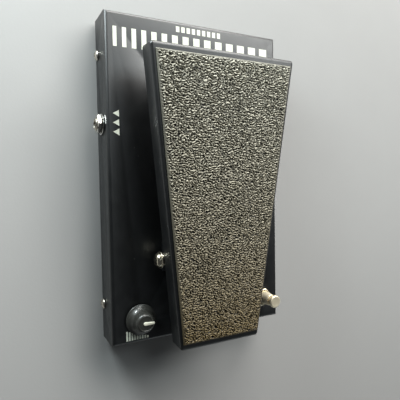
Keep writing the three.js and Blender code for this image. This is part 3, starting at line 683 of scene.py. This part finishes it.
def make_cover_screws():
    """Pan head screws with cross recesses, heads on the side walls."""
    spin = random.Random(5)
    for side, sx in (("left", -1), ("right", 1)):
        for end in ("toe", "heel"):
            node = f"cover_screw_{side}_{end}"
            low, high = node_box(node)
            middle = (low + high) / 2
            at = facing((sx * COVER_HIGH.x, middle.y, middle.z), (sx, 0, 0))
            at = at @ Matrix.Rotation(math.radians(spin.uniform(0, 90)), 4, "Z")
            head = [(3.85, 0.3), (4, 0.5), (3.95, 0.85), (3.6, 1.35), (3.0, 1.9), (2.2, 2.3), (1.2, 2.55),
                    (0, 2.6)]
            shank = [(0, -7.5), (1.4, -7.5), (1.8, -7.1)]
            grooves = thread(-6.9, -0.2, 1.8, 0.7, 0.25)
            mesh = lathe(shank + grooves + [(1.8, 0.3)] + head, at, 48)
            cross = phillips(1.7, 2.1, 0.9, at @ Matrix.Translation((0, 0, 2.3)))
            add_piece(f"{node}_head", carved(mesh, cross), "nickel", "chassis", [node])


def make_feet():
    """Push-in rubber feet: a disc with a rounded lower edge and a barbed plug above it."""
    for side in ("left", "right"):
        for end in ("toe", "heel"):
            node = f"rubber_foot_{side}_{end}"
            low, high = node_box(node)
            middle = (low + high) / 2
            profile = [(0, 0), (6.9, 0)] + arc(6.9, 0.7, 0.7, -90, 0, 4)
            profile += [(8, 2.2), (8, 2.5), (7.8, 2.7), (2.2, 2.7)]
            profile += [(2.2, 4.8), (3.0, 4.8), (3.2, 5.0), (2.6, 5.9), (1.6, 6.9), (0, 6.9)]
            mesh = lathe(profile, Matrix.Translation((middle.x, middle.y, 0)), 48)
            add_piece(f"{node}_disc", mesh, "rubber", "chassis", [node])


def make_buffers():
    """Rubber stops under the treadle: a flared foot, a waisted body and a rounded top."""
    for node in ("toe_bumper_left", "toe_bumper_right", "heel_bumper"):
        low, high = node_box(node)
        middle = (low + high) / 2
        top = high.z
        under = PANEL - STEEL - 0.3
        profile = [(0, low.z), (1.5, low.z), (3, under), (2.1, under), (2.1, PANEL + 0.3), (7.3, PANEL + 0.3)]
        profile += [(7.5, PANEL + 0.6), (7.4, PANEL + 2.2), (6.7, PANEL + 3.2), (6.4, PANEL + 5)]
        profile += [(5.9, top - 2.4)] + arc(4.5, top - 1.4, 1.4, 0, 90, 6) + [(0, top)]
        mesh = lathe(profile, Matrix.Translation((middle.x, middle.y, 0)), 48)
        add_piece(f"{node}_stop", mesh, "rubber", "chassis", [node])


def make_axle_caps():
    """Polished push-on caps outside the treadle's rim: a collar on the axle, a flange and a dome."""
    for side, sx in (("left", -1), ("right", 1)):
        node = f"axle_cap_{side}"
        low, high = node_box(node)
        start = min(abs(low.x), abs(high.x))
        flange = max(abs(low.x), abs(high.x)) - 4.3 - start
        profile = [(3.3, 0), (4.3, 0), (4.6, 0.3), (4.6, flange), (6.1, flange)]
        profile += arc(6.05, flange + 0.45, 0.45, -60, 90, 6) + [(5.6, flange + 0.95), (5.3, flange + 1.2)]
        profile += arc(2.5, flange + 1.5, 2.75, 0, 78, 12) + [(1.6, flange + 4.26), (0, flange + 4.3)]
        profile += [(0, flange + 1.9), (3.3, flange + 1.9)]
        mesh = lathe(profile, facing((sx * start, PIVOT.y, PIVOT.z), (sx, 0, 0)), 64, close=True)
        add_piece(f"{node}_dome", mesh, "cap_metal", "chassis", [node])


def make_power_jack():
    """The power socket in the toe wall: a threaded barrel with its centre pin, and a nut outside."""
    low, high = node_box("power_jack")
    x, z = (low.x + high.x) / 2, (low.z + high.z) / 2
    back, front = low.y, high.y
    length = front - back
    at = facing((x, back, z), (0, 1, 0))
    flange = COVER_HIGH.y + 0.3 - back
    profile = [(0, 0), (5.2, 0), (5.5, 0.3), (5.5, 6), (4, 6.2)]
    profile += [(r, h) for r, h in thread(6.6, flange - 0.6, 4.0, 0.8, 0.25)]
    profile += [(4, flange), (6, flange), (6, length - 0.3), (5.7, length), (3.2, length)]
    profile += [(2.9, length - 0.3), (2.9, 4), (1.05, 4), (1.05, length - 3.6), (0.8, length - 3.2)]
    mesh = lathe(profile + [(0, length - 3.2)], at, 64)
    add_piece("power_socket", mesh, "matte_black", "chassis", ["power_jack"])
    low, high = node_box("power_jack_nut")
    at = facing((x, low.y, z), (0, 1, 0))
    add_piece("power_socket_nut", hex_nut(6.2, 4.3, high.y - low.y, at), "nickel", "chassis",
              ["power_jack_nut"])


# ------------------------------------------------------------------ level knob
def make_knob():
    """A flared skirt, a lightly fluted cone, a flat top with a raised rim and a cream pointer.

    The profile's points are (radius, height, depth of the flutes)."""
    middle = (KNOB_LOW + KNOB_HIGH) / 2
    x, y = middle.x, middle.y
    at = Matrix.Translation((x, y, KNOB_LOW.z))

    def flutes(depth):
        return lambda angle: 1 - depth * (0.5 + 0.5 * math.cos(14 * angle)) ** 2

    sides = 112
    skirt = [(8.0, 3.2, 0), (8.0, 0.25, 0), (8.25, 0, 0), (11.4, 0, 0), (11.8, 0.35, 0), (11.8, 1.0, 0),
             (11.6, 1.3, 0), (11.2, 1.45, 0), (10.8, 1.6, 0), (10.3, 1.95, 0), (9.7, 2.5, 0), (9.1, 3.15, 0)]
    cone = [(8.6, 3.8, 0.002), (8.15, 4.6, 0.006), (7.85, 5.5, 0.01), (7.65, 6.5, 0.012),
            (7.5, 7.8, 0.012), (7.4, 9.0, 0.008), (7.25, 10.0, 0), (7.1, 10.6, 0)]
    cap = [(6.85, 11.1, 0), (6.5, 11.5, 0), (6.1, 11.8, 0), (5.8, 11.95, 0), (5.55, 12, 0),
           (5.4, 11.85, 0), (5.3, 11.6, 0), (5.15, 11.5, 0), (0, 11.5, 0)]
    bore = [(0, 10.6, 0), (3.25, 10.6, 0), (3.3, 3.2, 0)]
    loops = [ring_loop(max(r, 1e-4), h, sides, flutes(f) if f else None)
             for r, h, f in skirt + cone + cap + bore]
    add_piece("knob_body", loft(loops, at, close=True), "gloss_black", "knob", ["level_knob"])
    lean = math.radians(-2)
    half, length = 1.2, 6.3
    tip = [(-0.6, -half), (length, -half * 0.66), (length + 0.5, -half * 0.35), (length + 0.5, half * 0.35),
           (length, half * 0.66), (-0.6, half)]
    tip += [(-0.6 - half * math.sin(math.radians(30 * k)), half * math.cos(math.radians(30 * k)))
            for k in range(1, 6)]
    low, high = [(px, py, 11.4) for px, py in tip], [(px, py, 12.5) for px, py in tip]
    mesh = softened(loft([low, high], at @ Matrix.Rotation(lean, 4, "Z")), 0.18, 2)
    add_piece("knob_pointer", mesh, "cream", "knob", ["level_knob"])
    low, high = node_box("level_pot_nut")
    at = Matrix.Translation((x, y, low.z))
    nut = hex_nut(6.4, 3.9, high.z - low.z, at)
    add_piece("pot_hex", nut, "nickel", "chassis", ["level_pot_nut"])


# ------------------------------------------------------------------ foot switch
def make_foot_switch():
    """A bush with thread, a chamfered nut and a wide flat button on a flared neck."""
    middle = (BUTTON_LOW + BUTTON_HIGH) / 2
    x, y = middle.x, middle.y
    low, high = node_box("footswitch_body")
    case_top = PANEL - STEEL - 2.6
    case = box_mesh((low.x, low.y, low.z + 3), (high.x, high.y, case_top - 0.05))
    hole = lathe([(0, 17), (3.75, 17), (3.75, 40), (0, 40)], Matrix.Translation((x, y, 0)), 48)
    case = softened(carved(case, [hole]), 0.4)
    add_piece("switch_case", case, "matte_black", "chassis", ["footswitch_body"])
    top = high.z
    profile = [(3.75, case_top), (5.6, case_top)] + thread(case_top + 0.3, PANEL + 2.8, 5.6, 0.9)
    profile += [(5.6, PANEL + 3.2), (5.6, PANEL + 6), (5.45, PANEL + 6.8), (4.75, top - 0.8)]
    profile += [(4.55, top - 0.2), (4.3, top), (3.95, top), (3.75, top - 0.25)]
    mesh = lathe(profile, Matrix.Translation((x, y, 0)), 72, close=True)
    add_piece("switch_bush", mesh, "button_metal", "chassis", ["footswitch_body"])
    for node, slot in (("footswitch_upper_nut", "chrome"), ("footswitch_lower_nut", "nickel")):
        low, high = node_box(node)
        at = Matrix.Translation((x, y, low.z)) @ Matrix.Rotation(math.radians(12), 4, "Z")
        nut = hex_nut(8, 5.95, high.z - low.z, at)
        add_piece(f"{node}_hex", nut, "button_metal", "chassis", [node])
    top = BUTTON_HIGH.z
    profile = [(0, BUTTON_LOW.z), (3.1, BUTTON_LOW.z), (3.4, BUTTON_LOW.z + 0.3), (3.4, top - 3.4)]
    profile += [(3.7, top - 3.1), (4.5, top - 2.6), (5.0, top - 2.15), (5.3, top - 1.7), (5.3, top - 1.35)]
    profile += arc(4.0, top - 1.3, 1.3, 0, 80, 8) + [(3.6, top - 0.12), (2.2, top - 0.16), (0, top - 0.16)]
    add_piece("switch_button", lathe(profile, Matrix.Translation((x, y, 0)), 80), "button_metal", "button",
              ["footswitch_plunger"])


# ------------------------------------------------------------------ printed marks
INK = 0.06


def ink_piece(name, outlines):
    """Flat marks on the panel, each outline an anticlockwise list of (x, y)."""
    low, high = PANEL + 0.005, PANEL + INK
    points, faces = [], []
    for marks in outlines:
        n, first = len(marks), len(points)
        points += [(px, py, low) for px, py in marks] + [(px, py, high) for px, py in marks]
        faces.append(tuple(range(first, first + n))[::-1])
        faces.append(tuple(range(first + n, first + 2 * n)))
        faces += [(first + i, first + (i + 1) % n, first + n + (i + 1) % n, first + n + i) for i in range(n)]
    add_piece(name, mesh_of(points, faces), "ink", "chassis")


def bar(x0, x1, y0, y1):
    return [(x0, y0), (x1, y0), (x1, y1), (x0, y1)]


def make_marks():
    """Plain printed marks: a level scale of widening bars, dashes, arrows and a small bar icon."""
    count, narrowest, widening, space = 15, 2.4, 0.3, 3.6
    bars, x, last = [], -70.0, 71.0
    unit = (last - x) / sum(narrowest + widening * i + space for i in range(count))
    for i in range(count):
        wide = (narrowest + widening * i) * unit
        bars.append(bar(x, x + wide, 98.2, 112.6))
        x += wide + space * unit
    ink_piece("level_bars", bars)
    ink_piece("level_dashes", [bar(-19.5 + 4.6 * i, -16.6 + 4.6 * i, 115.6, 119.9) for i in range(9)])
    for name, sx in (("output_arrows", -1), ("input_arrows", 1)):
        x = sx * 69
        marks = []
        for y in (35.9, 42.7, 49.5):
            marks.append([(x + 2.2, y - 2.5), (x + 2.2, y + 2.5), (x - 2.4, y)])
        ink_piece(name, marks)
    icon = [bar(-65.5 + 2.05 * i, -64.2 + 2.05 * i, -121.3, -113.9 - 0.68 * i) for i in range(9)]
    ink_piece("knob_icon", icon)


# ------------------------------------------------------------------ carried-over CAD nodes
CARRIED = {
    "battery": "can", "battery_snap": "matte_black", "battery_door_screw": "nickel",
    "circuit_board": "circuit", "sensor_housing": "matte_black", "sensor_led": "lens", "photocell": "circuit",
    "level_pot_body": "zinc", "level_pot_shaft": "zinc", "pivot_axle": "zinc",
    "output_lead": "wire", "input_lead": "wire", "battery_lead": "wire",
    "pivot_bushing_left": "nylon", "pivot_bushing_right": "nylon",
    **{f"board_post_{side}_{end}": "nylon" for side in ("left", "right") for end in ("toe", "heel")},
    **{f"pivot_rivet_{i}": "zinc" for i in range(1, 5)},
}


def dress_carried_nodes():
    for node, finish in CARRIED.items():
        data = frame["nodes"][node].data
        data.materials.clear()
        data.materials.append(FINISH[finish])


def refine_sheet_parts():
    refine("bottom_plate", "zinc", "chassis", 0.25)
    refine("battery_door", "black_coat", "chassis", 0.3)
    refine("battery_strap", "zinc", "chassis", 0.2)
    refine("pivot_bracket", "black_coat", "chassis", 0.35)
    refine("treadle_bracket", "black_coat", "treadle", 0.35)
    refine("shutter_vane", "black_coat", "treadle", 0.2)


# ------------------------------------------------------------------ build
make_camera()
make_studio()
make_cover()
make_treadle()
make_tread_sheet()
make_jack("output_jack", -1)
make_jack("input_jack", 1)
make_cover_screws()
make_feet()
make_buffers()
make_axle_caps()
make_power_jack()
make_knob()
make_foot_switch()
make_marks()
refine_sheet_parts()
dress_carried_nodes()
